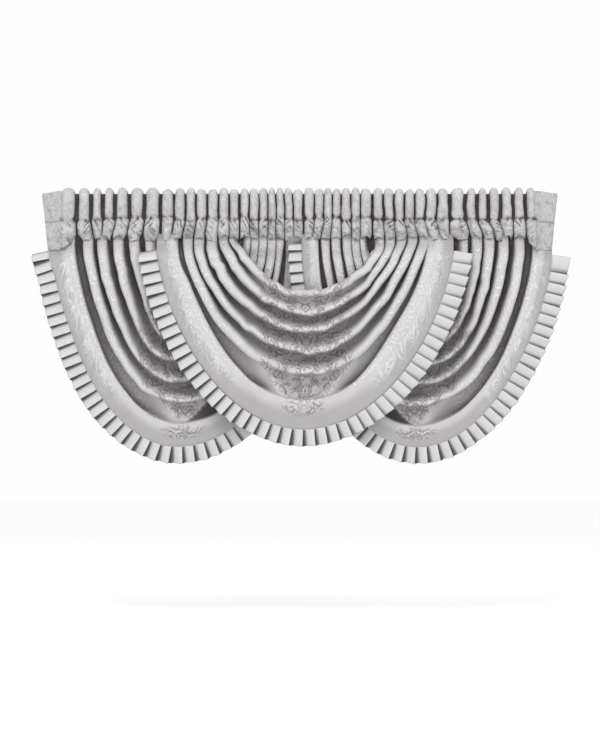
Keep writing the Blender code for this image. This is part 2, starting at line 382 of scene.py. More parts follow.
header = {
    "yokeBottom": -0.126,
    "returnBottom": -0.147,
    "returnStart": 0.520,
    "returnBlend": 0.040,
    "returnLean": 0.016,
    "returnTop": -0.0065,
    "returnWave": 0.45,
    "returnSteps": 10,
    "lowEdge": 0.0052,  # how uneven its lower edge is
    "footHalf": 0.0122,  # half a ridge where it meets the fold below
    "stitchLine": 2,  # the ring that the stitches follow
    "stitchRing": 2.05,  # and where they pull the ridges in, in rings
    "flatStitch": 1.90,  # the same on the flat ends
    "closeSteps": 16,  # rows of the mesh from one ring to the next, up to this ring and after it
    "closeEnd": 2.5,
    "wideSteps": 7,
    "ridgeColumns": 22,
    "ridgeRound": 0.8,  # under 1 is fuller than a half circle
    "topDrop": (0.0050, 0.0018),  # how much lower a ridge's top may be, and on the outer headers
    "ripple": (0.012, 0.0018),  # the scale and height of the cloth's unevenness
    "yokeRipple": (0.012, 0.0056),
    "flatRipple": (0.028, 0.0030),
    # the second number of tuck, arc and dimple is how much painted shade lies in their troughs
    "tuck": (0.0062, 0.90),  # how deep and how dark the slanting tucks of the yoke are
    "arc": (0.0040, 0.62),
    "dimple": (0.0040, 0.50),
    "arcSpacing": 0.0052,
    "dimpleSize": 0.0042,
    "slip": 0.0022,  # how far its ends slip behind their neighbours
    "leafShare": 0.15,
}
# ridgeY, ridgeZ, valleyY, valleyZ of the loop of cloth round the rod
headerRings = (
    (-0.026, -0.126, -0.0100, -0.126),
    (-0.029, -0.100, -0.0110, -0.100),
    (-0.021, -0.0740, -0.0110, -0.074),
    (-0.026, -0.0420, -0.0095, -0.040),
    (-0.022, -0.0075, -0.0095, -0.018),
    (-0.004, 0.0015, 0.0000, -0.0135),
    (0.014, -0.0090, 0.0095, -0.018),
    (0.017, -0.0560, 0.0090, -0.058),
    (-0.0096, -0.0725, -0.0096, -0.0725),
)
# feet are where the ridges arrive at the folds of the swag below
headerPlan = namedtuple("headerPlan", "name left right flatLeft flatRight gap ridges feet")
headers = (
    headerPlan("left_header_outer", -0.606, -0.3268, 0.045, 0.0, 0.0100,
               (-0.542, -0.506, -0.476, -0.448, -0.416, -0.382, -0.348),
               (-0.546, -0.497, -0.470, -0.456, -0.425, -0.388, -0.351)),
    headerPlan("centre_header_left", -0.325, -0.1425, 0.0, 0.0, 0.0055,
               (-0.308, -0.282, -0.255, -0.232, -0.204, -0.178, -0.153),
               (-0.314, -0.290, -0.262, -0.236, -0.206, -0.178, -0.155)),
    headerPlan("left_header_inner", -0.1406, 0.0070, 0.0, 0.0, 0.0036,
               (-0.131, -0.107, -0.086, -0.066, -0.047, -0.027, -0.005),
               (-0.127, -0.106, -0.087, -0.066, -0.046, -0.027, -0.006)),
    headerPlan("right_header_inner", 0.0089, 0.1680, 0.0, 0.0, 0.0036,
               (0.022, 0.046, 0.066, 0.086, 0.109, 0.130, 0.153),
               (0.020, 0.039, 0.059, 0.084, 0.110, 0.131, 0.152)),
    headerPlan("centre_header_right", 0.1699, 0.349, 0.0, 0.0, 0.0055,
               (0.182, 0.209, 0.231, 0.256, 0.280, 0.307, 0.334),
               (0.186, 0.211, 0.238, 0.263, 0.291, 0.316, 0.338)),
    headerPlan("right_header_outer", 0.3508, 0.605, 0.0, 0.052, 0.0090,
               (0.372, 0.402, 0.428, 0.453, 0.485, 0.513, 0.541),
               (0.381, 0.414, 0.443, 0.469, 0.483, 0.5145, 0.548)),
)


def returnShare(x):
    # 0 over the gathers, 1 on the flat ends
    return smooth((abs(x) - header["returnStart"]) / header["returnBlend"])


def headerBottom(x):
    return mix(header["yokeBottom"], header["returnBottom"], returnShare(x))


def headerColumns(strip):
    # the kind of each column, the number of its ridge, and its angle round the ridge or its share
    # of the flat end
    half, steps = header["ridgeColumns"] // 2, header["returnSteps"]
    columns = [("flat", 0, i / steps) for i in range(steps)] if strip.flatLeft else []
    for number in range(len(strip.ridges)):
        columns.append(("gap", number, 0.0))
        columns += [("ridge", number, math.radians(90 * i / half)) for i in range(-half, half + 1)]
    columns.append(("gap", len(strip.ridges), 0.0))
    if strip.flatRight:
        columns += [("flat", 1, i / steps) for i in range(1, steps + 1)]
    return columns


def ridgeFacts(draw):
    # what makes each ridge of a header its own
    return {
        "drift": kinks(draw.random(), 0.030, 0.0024, 0.3),
        "fat": kinks(draw.random(), 0.026, 0.10, 0.3),
        "depth": kinks(draw.random(), 0.022, 0.0016, 0.3),
        "lower": draw.uniform(0.0, 1.0),
        "pinchSide": draw.uniform(-0.55, 0.55),
        "slant": draw.choice((-1, 1)) * math.radians(draw.uniform(18, 58)),
        "period": draw.uniform(0.0064, 0.0110),
        "tucked": draw.choice((0.25, 0.60, 1.0)),
        "hand": draw.choice((-1, 1)),
        "tuckLong": draw.uniform(0.010, 0.026),
        "arched": draw.choice((0.0, 0.0, 0.5, 0.8)),
        "dimple": draw.choice((0.0, 0.4, 1.0)),
        "pinchShift": draw.uniform(-0.20, 0.16),
        "pinchFat": draw.choice((0.0, 0.08, 0.20, 0.34)),
        "stitch": draw.choice((0.0, 0.0, 0.30)),
        "mouthShade": draw.choice((0.0, 0.0, 0.20, 0.60)),
        "puff": draw.uniform(0.0, 0.0050),
        "phase": draw.uniform(0.0, math.tau),
        "yokeFat": draw.uniform(0.86, 1.0),
        "yokeDepth": draw.uniform(-0.0030, 0.0026),
        "knuckle": draw.uniform(-0.0010, 0.0105),
        "foot": draw.uniform(0.0004, 0.0022),
    }


def ringShares(ring):
    # how much of the yoke, of the feet at its lower edge and of the back there is in a ring
    yoke = smooth((2.30 - ring) / 0.55)
    foot = 1 - smooth((ring - 0.05) / 0.70)
    back = smooth((ring - 5.2) / 0.8)
    return yoke, foot, back


def yokeCreases(fact, sideways, down):
    # slanting tucks below the stitches on one side of a ridge, and on some ridges arcs near the
    # foot and a dimple at the stitches; how deep they are, and the painted shade in their troughs
    warp = 0.0016 * noise.noise((sideways / 0.010, down / 0.014, fact["phase"] * 7))
    along = sideways * math.cos(fact["slant"]) + down * math.sin(fact["slant"]) + warp
    tucks = abs(math.sin(math.pi * along / fact["period"] + fact["phase"]))
    tuckSize = smooth((down + 0.004) / 0.006) * (1 - smooth((down - fact["tuckLong"]) / 0.010))
    tuckSize *= smooth((sideways * fact["hand"] + 0.007) / 0.008) * fact["tucked"]
    low = math.hypot(sideways * 0.8 - fact["pinchSide"] * 0.012, down - 0.043)
    arcs = abs(math.sin(math.pi * (low + warp) / header["arcSpacing"]))
    arcSize = fact["arched"] * smooth((low - 0.004) / 0.004) * (1 - smooth((low - 0.015) / 0.006))
    pinch = math.hypot(sideways - fact["pinchSide"] * 0.008, down * 0.8) / header["dimpleSize"]
    dimple = fact["dimple"] * bell(pinch)
    tuckDeep, tuckDark = header["tuck"]
    arcDeep, arcDark = header["arc"]
    dimpleDeep, dimpleDark = header["dimple"]
    deep = tuckDeep * tuckSize * (tucks ** 0.7 - 0.6) + arcDeep * arcSize * (arcs ** 0.7 - 0.6)
    dark = tuckDark * tuckSize * (1 - tucks) ** 1.5 + arcDark * arcSize * (1 - arcs) ** 1.5
    return deep - dimpleDeep * dimple, dark + dimpleDark * dimple


def ridgeHalf(strip, fact, span, ring, height):
    # half of a ridge, within the room that it has
    yoke, foot, back = ringShares(ring)
    room = max(span - strip.gap / 2, span * 0.55)
    fat = room * (1 + fact["fat"](height) * (1 - back))
    fat = mix(fat, span * fact["yokeFat"], yoke * (1 - foot))
    fat = mix(fat, min(fat, header["footHalf"]), foot)
    off = (ring - header["stitchRing"] - fact["pinchShift"]) / 0.20
    return min(fat, span * 0.985) * (1 - fact["pinchFat"] * math.exp(-off * off))


# painted shade of a header: in the gaps between ridges, in the tucks, at the pinched stitches, at
# the feet and in mottled patches
def headerShade(kind, fact, ring, wave, shade, creaseShade, mottledShade):
    yoke = ringShares(ring)[0]
    if kind == "flat":
        # on the flat end: mottled painted shade and a painted shadow along the stitch line, a
        # little darker all over
        return 0.10 + 0.30 * mottledShade + 0.28 * bell((ring - header["flatStitch"]) / 0.07)
    off = ring - header["stitchRing"] - (fact["pinchShift"] if kind == "ridge" else 0.0)
    shade = shade * mix(0.92, 0.88, yoke) + creaseShade
    # painted shadow at the pinched stitches, and on some ridges along the stitch line
    shade += 0.7 * bell(off / 0.16) * (1 - wave) ** 0.7 + fact["stitch"] * bell(off / 0.07)
    # painted shade down the ridges' sides, and on some ridges at the foot where the fold comes out
    shade += 0.22 * (1 - wave) ** 1.5 + fact["mouthShade"] * bell(ring / 0.16)
    return shade + mottledShade


def makeHeader(strip):
    seed = int(abs(strip.left) * 1000) + (500 if strip.left > 0 else 0)
    draw = random.Random(seed)
    columns = headerColumns(strip)
    outward = -1 if strip.flatLeft else 1
    freeEdge = strip.left if strip.flatLeft else strip.right
    flatSpan = strip.flatLeft or strip.flatRight
    start, end = strip.left + strip.flatLeft, strip.right - strip.flatRight
    count = len(strip.ridges)
    flatGap = 0 if strip.flatLeft else count if strip.flatRight else -1
    slipping = (count - flatGap,) if flatSpan else (0, count)  # where it meets another header
    facts = [ridgeFacts(draw) for _ in strip.ridges]
    lowEdge = kinks(seed + 3, 0.020, header["lowEdge"])
    stitchZ = headerRings[header["stitchLine"]][1]
    # close rings over the yoke, wider ones up over the rod and down the back
    closeEnd, wideSteps, lastRing = header["closeEnd"], header["wideSteps"], len(headerRings) - 1.0
    rings = [i / header["closeSteps"] for i in range(int(closeEnd * header["closeSteps"]))]
    rings += [closeEnd + i / wideSteps for i in range(int((lastRing - closeEnd) * wideSteps))]
    rings.append(lastRing)
    rows, shades = [], []
    for ring in rings:
        ridgeY, ridgeZ, valleyY, valleyZ = throughPoints(headerRings, ring)
        yoke, foot, back = ringShares(ring)
        arrive = smooth((2.1 - ring) / 1.9)
        depth = min(max(valleyZ / header["yokeBottom"], 0.0), 1.0)
        middles = [mix(a, b, arrive) + fact["drift"](valleyZ) * (1 - back) * (1 - foot)
                   for a, b, fact in zip(strip.ridges, strip.feet, facts)]
        gaps = [start] + [(a + b) / 2 for a, b in zip(middles, middles[1:])] + [end]
        row, shadeRow = [], []
        for kind, number, angle in columns:
            # shade is painted shade: full in the gaps between ridges, none on the flat end
            wave, shade, creaseShade = 0.0, 1.0, 0.0
            fact = facts[min(number, count - 1)]
            besideFlat = kind != "flat" and number + (angle > 0) == flatGap
            if kind == "flat":
                x = mix(end, strip.right, angle) if number else mix(strip.left, start, angle)
                wave, shade = header["returnWave"], 0.0
            elif kind == "gap":
                x = gaps[number]
                if besideFlat:
                    wave, shade = header["returnWave"], 0.0
            else:
                middle = middles[number]
                span = gaps[number + 1] - middle if angle > 0 else middle - gaps[number]
                x = middle + ridgeHalf(strip, fact, span, ring, valleyZ) * math.sin(angle)
                wave = max(math.cos(angle), 0.0) ** header["ridgeRound"]
                # painted shade down a ridge's sides
                shade = 1 - smooth((wave - 0.04) * 2.4)
                if besideFlat:
                    wave, shade = mix(header["returnWave"], 1.0, wave), 0.0
            y, z = mix(valleyY, ridgeY, wave), mix(valleyZ, ridgeZ, wave)
            lively = (1 - back) * (wave if kind == "ridge" else 0.35 * wave)
            if kind == "ridge":
                own = fact["depth"](valleyZ) * (1 - foot) + yoke * (1 - foot) * fact["yokeDepth"]
                y += lively * own
                below = stitchZ - z + fact["pinchShift"] * 0.026
                deep, dark = yokeCreases(fact, x - middles[number], below)
                y -= lively * deep
                creaseShade = lively * dark
                puffed = math.sin(math.pi * min(max((1.95 - ring) / 1.75, 0.0), 1.0))
                y -= lively * fact["puff"] * puffed
                y += lively * foot * fact["foot"]
                z += fact["knuckle"] * wave ** 2 * foot ** 2 * (0.0 if besideFlat else 1.0)
                lower = fact["lower"] * header["topDrop"][1 if flatSpan else 0]
                z -= lower * smooth((ring - 3.2) / 1.2) * (1 - back) * wave
            handled = ripple(x + z * 0.8, z * 0.7, seed, *header["yokeRipple"])
            y += lively * yoke * (1 - 0.7 * foot) * handled
            y += lively * (1 - yoke) * ripple(x, z * 0.6, seed + 9, *header["ripple"])
            if kind == "gap" and number in slipping:
                side = -1 if number == 0 else 1
                x += side * header["slip"] * (1 - back)
                y += (0.0026 if side > 0 else 0.0004) * (1 - back)
            # the flat end: its lower edge drops, its top edge too, and its free edge leans in
            flatShare = returnShare(x) if flatSpan else 0.0
            uneven = lowEdge(x) + 0.6 * header["lowEdge"]
            z += uneven * (1 - flatShare) * (1 - smooth(ring / 0.9))
            if ring < 6:
                z += (headerBottom(x) - header["yokeBottom"]) * depth ** 4
            if flatSpan:
                edge = smooth(1 - abs(x - freeEdge) / flatSpan)
                z += header["returnTop"] * edge * (1 - depth)
                x -= outward * header["returnLean"] * edge * z / header["returnBottom"]
                if kind == "flat":
                    y += (1 - back) * ripple(x, z, seed + 20, *header["flatRipple"])
                    y += (1 - back) * 0.0022 * bell((ring - header["flatStitch"]) / 0.09)
            # mottled painted shade, as of the shadows of small wrinkles
            shadeMottle = max(noise.noise(((x + z * 0.5) / 0.0065, z / 0.0095, seed + 0.5)), 0.0)
            mottledShade = shadeMottle if kind == "flat" else lively * mix(0.26, 0.72, yoke) * shadeMottle
            shade = headerShade(kind, fact, ring, wave, shade, creaseShade, mottledShade)
            row.append((x, y, z))
            shadeRow.append(min(max(shade, 0.0), 1.0))
        rows.append(row)
        shades.append(shadeRow)
    across, down = runsAlong(rows)
    middleRow = across[rings.index(closeEnd)]
    places = [[(a + strip.left, d, 0.0) for a, d in zip(middleRow, downRow)] for downRow in down]
    zones = [[(0.0, 0.0, header["leafShare"])] * len(columns) for _ in rows]
    piece = clothPiece(strip.name + "Cloth", rows, places, shades, zones, headerCloth)
    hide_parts(strip.name)
    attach(piece, "root")
    long = down[-1][len(columns) // 2]
    print(piece.name, "ready, cut about", round(middleRow[-1], 3), "by", round(long, 3))
    return piece


swag = {
    "headerGap": 0.0009,
    "returnDepth": -0.0150,
    "ramp": 0.044,  # drop over which a swag leaves the depth of its header
    "depthSweep": 1.5,
    "lastFold": 4,
    "pleats": 48,
    "seamSteps": 1440,
    "columnsPerPleat": 7,
    "bandSteps": 14,
    "ribSide": 0.0116,  # half of a fold's rounded front, at the sides
    "underside": 0.52,  # where the cloth behind the first fold starts, in folds
    "kinkRun": 1.3,  # the length of cloth that the kinks are spread over
    "kinkSpacing": 0.045,
    "kinkSide": 0.0020,
    "kinkMiddle": 0.0040,
    "tuckLow": 0.14,  # how far the throat's edge goes behind the first fold, in folds
    "tuckSide": 0.40,
    "tuckTop": 0.55,  # and how much further at the headers
    "edgeLow": 0.97,  # where the rolled edge of the band lies near the middle, in folds
    "rollStart": 0.22,
    "bandCrown": 0.0045,
    "bandCrease": 0.0022,
    "knuckle": 0.0042,  # how far the folds step back right under the yoke
    "ripple": (0.012, 0.0015),
    "middleShade": 0.42,
    "bandShade": 0.20,
    "medallion": 0.128,  # half width of the figured middle, on the flat cloth
    "plainStrip": 0.060,
}
foldLine = namedtuple("foldLine", "leftX lowX rightX lowZ")
depths = namedtuple("depths", "left middle right")
# rib, sway and edge are for the left and the right side: how wide the ribs are, how far the folds
# at the throat and at the band stand out from their ovals half way down, in folds, and where the
# rolled edge of the band lies, with how soon it gets there and where it lies at the headers
swagPlan = namedtuple(
    "swagPlan",
    "name foldRound bandRound fronts backs band rib ribMost swayStart sway edge flat lines")
swags = (
    swagPlan(
        name="left", foldRound=1.72, bandRound=(1.43, 2.2),
        fronts=depths(-0.038, -0.032, -0.014), backs=depths(-0.006, -0.006, 0.008),
        band=depths(-0.036, -0.030, 0.012), rib=(1.0, 0.85), ribMost=(0.42, 0.465),
        swayStart=40, sway=((-0.27, -0.19), (0.0, 0.0)),
        edge=((0.72, 1.0, 0.72), (0.72, 1.0, 0.72)), flat=(1.25, 0.60),
        lines=(
            foldLine(-0.350, -0.300, -0.124, -0.306),
            foldLine(-0.388, -0.302, -0.106, -0.353),
            foldLine(-0.425, -0.304, -0.087, -0.401),
            foldLine(-0.463, -0.292, -0.066, -0.450),
            foldLine(-0.496, -0.278, -0.046, -0.500),
            foldLine(-0.540, -0.282, -0.028, -0.556),
            foldLine(-0.589, -0.286, 0.006, -0.607),
        )),
    swagPlan(
        name="centre", foldRound=1.26, bandRound=(1.59, 1.57),
        fronts=depths(-0.064, -0.066, -0.064), backs=depths(-0.034, -0.036, -0.034),
        band=depths(-0.060, -0.058, -0.060), rib=(1.0, 1.0), ribMost=(0.42, 0.42),
        swayStart=22, sway=((-0.22, 0.32), (0.28, -0.12)),
        edge=((0.55, 0.80, 0.80), (0.28, 0.6, 0.28)), flat=(1.25, 0.66),
        lines=(
            foldLine(-0.156, 0.012, 0.186, -0.256),
            foldLine(-0.178, 0.014, 0.211, -0.298),
            foldLine(-0.206, 0.014, 0.238, -0.336),
            foldLine(-0.236, 0.016, 0.263, -0.386),
            foldLine(-0.262, 0.018, 0.291, -0.434),
            foldLine(-0.292, 0.010, 0.318, -0.502),
            foldLine(-0.335, 0.008, 0.359, -0.567),
        )),
    swagPlan(
        name="right", foldRound=1.72, bandRound=(1.95, 1.45),
        fronts=depths(-0.022, -0.032, -0.038), backs=depths(-0.006, -0.006, -0.006),
        band=depths(-0.022, -0.030, -0.036), rib=(0.85, 1.0), ribMost=(0.465, 0.42),
        swayStart=22, sway=((0.0, 0.0), (0.0, 0.0)),
        edge=((0.72, 1.0, 0.72), (0.68, 1.0, 0.68)), flat=(1.25, 0.60),
        lines=(
            foldLine(0.149, 0.318, 0.381, -0.312),
            foldLine(0.131, 0.318, 0.414, -0.360),
            foldLine(0.110, 0.314, 0.443, -0.408),
            foldLine(0.084, 0.292, 0.476, -0.454),
            foldLine(0.059, 0.270, 0.514, -0.507),
            foldLine(0.036, 0.271, 0.560, -0.562),
            foldLine(0.004, 0.272, 0.590, -0.608),
        )),
)

swagLooks = {  # point is half the pointed figure over the band, and how much of it closes
    "left": {
        "headers": ("left_header_outer", "left_header_inner"),
        "seed": 11,
        "lively": 0.75,
        "tuckMore": 1.0,
        "point": (0.062, 1.0),
        # painted shade in the hollow beside the point
        "wedge": 0.84,  # how dark the hollow is beside the point, on the side that its sign gives
        "ornament": (0.36, 0.34),  # where the band's small ornament is, and its height
    },
    "centre": {
        "headers": ("centre_header_left", "centre_header_right"),
        "seed": 23,
        "lively": 1.0,
        "tuckMore": 1.0,
        "point": (0.112, 0.6),
        "wedge": 0.0,
        "ornament": (0.24, 0.28),
    },
    "right": {
        "headers": ("right_header_inner", "right_header_outer"),
        "seed": 37,
        "lively": 0.75,
        "tuckMore": 2.0,
        "point": (0.062, 1.0),
        "wedge": -0.90,
        "ornament": (0.36, 0.34),
    },
}
foldSteps = (
    0.0, 0.04, 0.08, 0.115, 0.15, 0.18, 0.21, 0.24, 0.27, 0.305, 0.34, 0.385, 0.43, 0.495, 0.56,
    0.625, 0.69, 0.74, 0.79, 0.83, 0.87, 0.905, 0.94, 0.97,
)

# One fold from its front to the next one's, at these parts of the way: how far across the pitch (a
# constant, a count of rib halves and a count of edge shares) and how far forward. At the middle of
# a swag the ribs and the edge don't count.
foldMarks = (0.00, 0.08, 0.15, 0.21, 0.27, 0.34, 0.43, 0.56, 0.69, 0.79, 0.87, 0.94, 1.00)
foldSide = (  # at the sides the front is a round rib
    (0.00, 0.00, 0, 1.00),
    (0.00, 0.60, 0, 0.94),
    (0.00, 0.92, 0, 0.76),
    (0.00, 1.03, 0, 0.50),
    (0.00, 0.98, 0, 0.22),
    (0.04, 0.95, 0, 0.05),
    (0.25, 0.50, 0, 0.00),
    (0.55, -0.10, 0, 0.03),
    (0.84, -0.68, 0, 0.12),
    (1.00, -1.02, 0, 0.42),
    (1.00, -0.88, 0, 0.73),
    (1.00, -0.54, 0, 0.94),
    (1.00, 0.00, 0, 1.00),
)
foldMiddle = (  # at the middle it hangs over the cloth under it
    (0.000, 1.00),
    (0.080, 0.96),
    (0.130, 0.82),
    (0.150, 0.58),
    (0.140, 0.30),
    (0.160, 0.09),
    (0.230, 0.00),
    (0.380, 0.07),
    (0.550, 0.27),
    (0.690, 0.52),
    (0.810, 0.78),
    (0.920, 0.96),
    (1.000, 1.00),
)
lastSide = foldSide[:6] + (  # the last one runs deep to the rolled edge of the band
    (0.050, 0.80, 0.10, 0.00),
    (0.000, 0.35, 0.60, 0.00),
    (-0.030, 0.00, 1.00, 0.05),
    (-0.015, 0.00, 1.00, 0.38),
    (0.012, 0.00, 1.00, 0.75),
    (0.360, 0.00, 0.64, 0.95),
    (1.000, 0.00, 0.00, 1.00),
)
lastMiddle = (
    (0.000, 1.00),
    (0.060, 0.96),
    (0.095, 0.82),
    (0.110, 0.58),
    (0.105, 0.30),
    (0.125, 0.10),
    (0.210, 0.03),
    (0.440, 0.12),
    (0.720, 0.28),
    (0.895, 0.45),
    (0.940, 0.68),
    (0.970, 0.92),
    (1.000, 1.00),
)
foldMemory = {}


def foldShape(part, rib, side, last, edge):
    # across the pitch and how far forward, at a part of the way between two folds
    if (part, last) not in foldMemory:
        index = min(max(bisect.bisect_right(foldMarks, part) - 1, 0), len(foldMarks) - 2)
        start, end = foldMarks[index:index + 2]
        place = index + (part - start) / (end - start)
        tables = (lastSide, lastMiddle) if last else (foldSide, foldMiddle)
        foldMemory[part, last] = [throughPoints(table, place) for table in tables]
    (fixed, ribCount, edgeCount, sideWave), (middle, middleWave) = foldMemory[part, last]
    wave = min(max(mix(middleWave, sideWave, side), 0.0), 1.0)
    return mix(middle, fixed + ribCount * rib + edgeCount * edge, side), wave


def atLines(lines, place, column):
    values = [getattr(line, column) for line in lines]
    index = min(max(int(math.floor(place)), 0), len(values) - 2)
    return mix(values[index], values[index + 1], place - index)


def depthAt(depth, angle):
    side = depth.left if angle < 0 else depth.right
    return mix(depth.middle, side, math.sin(abs(angle)) ** swag["depthSweep"])


def linePoint(cut, across, roundPlace, angle):
    # x, z and the height of the header's edge above
    lowX = atLines(cut.lines, across, "lowX")
    lowZ = atLines(cut.lines, across, "lowZ")
    sideX = atLines(cut.lines, across, "leftX" if angle < 0 else "rightX")
    top = headerBottom(sideX) - swag["headerGap"]
    bandRound = cut.bandRound[0 if angle < 0 else 1]
    bandPart = min(max(roundPlace - swag["lastFold"], 0.0), 1.0)
    share = max(math.cos(angle), 0.0) ** (2 / mix(cut.foldRound, bandRound, bandPart))
    return mix(lowX, sideX, math.sin(abs(angle))), mix(top, lowZ, share), top


def seamAngles(cut, parts):
    # angles that cut the seam of the trim into equal lengths, and its whole length
    fine = [math.radians(-90 + 180 * i / swag["seamSteps"]) for i in range(swag["seamSteps"] + 1)]
    last = len(cut.lines) - 1
    points = [linePoint(cut, last, last, angle)[:2] for angle in fine]
    run = [0.0]
    for a, b in zip(points, points[1:]):
        run.append(run[-1] + math.dist(a, b))
    angles = [fine[0]]
    for part in range(1, parts):
        wanted = run[-1] * part / parts
        index = bisect.bisect_right(run, wanted) - 1
        share = (wanted - run[index]) / (run[index + 1] - run[index])
        angles.append(mix(fine[index], fine[index + 1], share))
    return angles + [fine[-1]], run[-1]


def alongCloth(share):
    return mix(-0.5, 0.5, share) * swag["kinkRun"]


def swagKinks(cut):
    # of every fold, and calmer ones of the band and its seam
    look, last = swagLooks[cut.name], swag["lastFold"]
    rows = []
    for fold in range(-1, last + 3):
        calm = 1.0 if fold <= last else (0.35 if fold == last + 1 else 0.12)
        seed = look["seed"] * 100 + fold
        rows.append((
            kinks(seed, swag["kinkSpacing"], look["lively"] * calm),
            kinks(seed + 50, swag["kinkSpacing"] * 0.6, calm),
        ))
    return rows


def foldPlace(cut, part, fold, angle, side, pitch):
    # how far across the pitch a part of a fold lies, and how far forward
    if fold > swag["lastFold"]:
        return part, 1.0
    hand = 0 if angle < 0 else 1
    rib = min(max(swag["ribSide"] * cut.rib[hand] / pitch, 0.14), cut.ribMost[hand])
    edgeSide, edgeReach, edgeTop = cut.edge[hand]
    edge = mix(swag["edgeLow"], edgeSide, smooth(side / edgeReach))
    edge = mix(edge, edgeTop, smooth((side - 0.84) / 0.13))
    last = fold == swag["lastFold"]
    shape = smooth(side / swag["rollStart"]) if last else side
    shown = max(part, swag["underside"]) if fold < 0 else part
    across, wave = foldShape(shown, rib, shape, last, edge)
    across -= max(swag["underside"] - part, 0.0) if fold < 0 else 0.0
    # its front sways out from the oval between the headers and the middle
    steep = math.degrees(abs(angle))
    sway = mix(*cut.sway[hand], smooth((fold + part) / 2.5))
    sway *= 1 - smooth(fold + part - swag["lastFold"])
    return across + sway * smooth((90 - steep) / cut.swayStart) * smooth((steep - 12) / 42), wave


def swagDepth(cut, x, fromThroat, angle, wave, clear):
    # how far forward the cloth is: as its header at the top, and on its own depth below
    front = mix(headerRings[0][0], depthAt(cut.fronts, angle), clear)
    back = mix(headerRings[0][2], depthAt(cut.backs, angle), clear)
    bandGoal = depthAt(cut.band, angle)
    bandStart = min(max(headerRings[0][0], bandGoal), headerRings[0][2])
    bandStart = mix(bandStart, swag["returnDepth"], returnShare(x))
    band = mix(bandStart, bandGoal, clear)
    front = mix(front, band, smooth((fromThroat - swag["lastFold"]) * 2))
    return mix(back, front, wave)


def swagPoint(cut, bends, part, fold, angle, distance):
    # fold counts from the throat; part runs from its front to the next one's
    side = math.sin(angle) ** 2
    x0, z0, _ = linePoint(cut, fold, fold, angle)
    x1, z1, _ = linePoint(cut, fold + 1, fold + 1, angle)
    pitch = max(math.dist((x0, z0), (x1, z1)), 0.012)
    across, wave = foldPlace(cut, part, fold, angle, side, pitch)
    place = fold + across
    # kinks shift the folds along the cloth; none at the headers
    x, z, top = linePoint(cut, place, fold + part, angle)
    size = mix(swag["kinkMiddle"], swag["kinkSide"], side) * smooth((top - z) / 0.05)
    (shiftHere, diveHere), (shiftNext, diveNext) = bends[fold + 1], bends[fold + 2]
    shift = mix(shiftHere(distance), shiftNext(distance), smooth(part)) * size
    dive = mix(diveHere(distance), diveNext(distance), smooth(part)) * size * 0.6
    place += shift / pitch
    x, z, top = linePoint(cut, place, fold + part, angle)
    clear = smooth((top - z) / swag["ramp"])
    y = swagDepth(cut, x, fold + part, angle, wave, clear) + dive * wave
    if fold > swag["lastFold"]:
        # the band is slightly crowned, with a soft crease along it near its tops
        y -= swag["bandCrown"] * math.sin(math.pi * part) * clear * (0.4 + 0.6 * side)
        crease = bell((part - 0.55 - 0.1 * math.sin(distance * 9)) / 0.09)
        y += swag["bandCrease"] * crease * smooth((side - 0.55) / 0.3) * clear
        if cut.name == "left" and angle < 0:  # here the trim's seam runs straighter than the oval
            x += 0.009 * part * smooth((top - z) / 0.07) * (1 - smooth((top - z - 0.16) / 0.22))
        if cut.name == "left" and angle > 0:  # and here it covers the gap between the headers
            x += 0.0065 * part * (1 - smooth((top - z) / 0.05))
    else:
        scale, size = swag["ripple"]
        y -= wave * size * noise.noise((x / scale, z / scale, fold * 3.7)) * clear
        # rounded knuckles where the folds come out from under the yoke
        below = (top - z) / 0.016
        y += wave * swag["knuckle"] * bell(below * 1.5) - wave * 0.0022 * bell((below - 1.15) * 1.4)
    return (x, y, z), wave, side, clear


def lastFoldShade(cut, part, u, pointEdge, cover, side):
    # the deep hollow over the band in painted shade, with painted light on the cloth beside and
    # inside the pointed figure, a painted highlight along its edges, a painted dark wedge on one
    # side and painted shade under the band's rolled edge
    middle = 0.34 * smooth((part - 0.03) / 0.14) * (1 - smooth((part - 0.78) / 0.16))
    deep = smooth((part - 0.16) / 0.16) * (1 - smooth((part - 0.76) / 0.10))
    deep *= mix(mix(0.26, 0.66, smooth(side * 1.3)), 0.80, bell((part - 0.70) / 0.12))
    shade = mix(middle, deep, smooth(side / 0.16))
    wedge = swagLooks[cut.name]["wedge"]
    beside = abs(u) - pointEdge
    towardsBand = smooth((part - 0.2) / 0.2) * (1 - smooth((part - 0.74) / 0.14))
    if u * wedge > 0:
        hollow = smooth((part - 0.10) / 0.12) * (1 - smooth((part - 0.76) / 0.10))
        shade = max(shade, abs(wedge) * hollow * smooth(beside / 0.009))
    else:
        shade -= 0.20 * bell((beside - 0.014) / 0.020) * towardsBand
        rolled = 0.22 * bell((part - 0.72) / 0.09)
        shade += rolled * smooth((beside - 0.012) / 0.03) * (1 - smooth(side / 0.3))
    shade -= 0.12 * (1 - smooth(beside / 0.006)) * towardsBand
    outline = 0.24 * bell(beside / 0.007)
    shade -= outline * smooth((part - 0.1) / 0.2) * (1 - smooth((part - 0.74) / 0.14))
    sides = cover * smooth((side - 0.55) / 0.3)
    return max(shade, sides * mix(0.62, 1.0, 1 - smooth((part - 0.26) / 0.40)))


